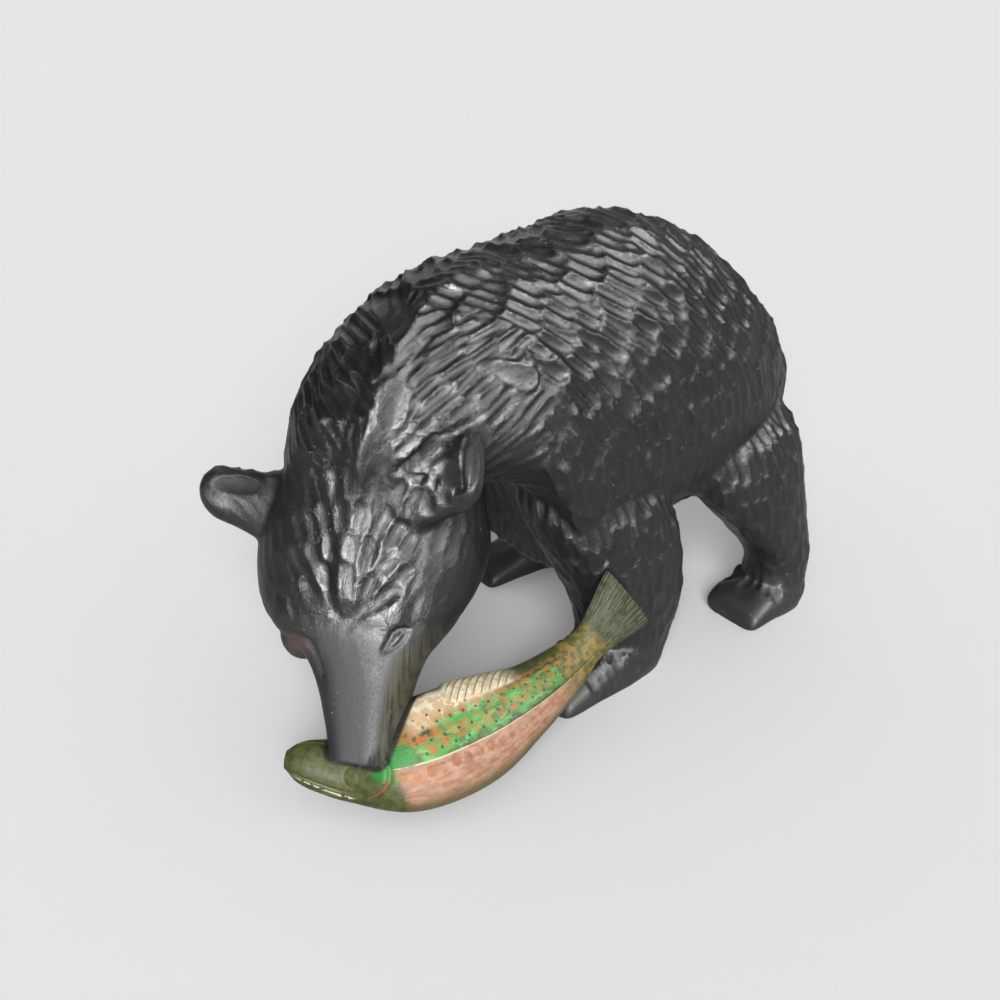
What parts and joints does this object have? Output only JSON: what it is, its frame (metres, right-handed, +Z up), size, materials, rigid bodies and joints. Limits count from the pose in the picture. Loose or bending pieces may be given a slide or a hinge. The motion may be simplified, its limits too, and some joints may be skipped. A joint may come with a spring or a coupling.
{
  "type": "carved wooden bear figurine",
  "caption": "Carved bear ornament standing on four feet with its head down and a painted trout across its jaws, gouged all over as fur.",
  "frame": {"origin": "on the floor, under the middle of the figure's bounding box", "axes": "+Z up; the bear's body points along -Y and its left side is towards +X, with the head turned 38 degrees to its left"},
  "size_m": [0.1406, 0.2692, 0.1933],
  "materials": {
    "black_wood": "black-stained carved wood with a waxed satin sheen on the ridges",
    "painted_trout": "the same wood painted as a trout: olive head, gold back, green stripe, pink belly, thin lacquer"
  },
  "bodies": {
    "root": {"bear_with_trout": "black_wood"}
  },
  "joints": []
}
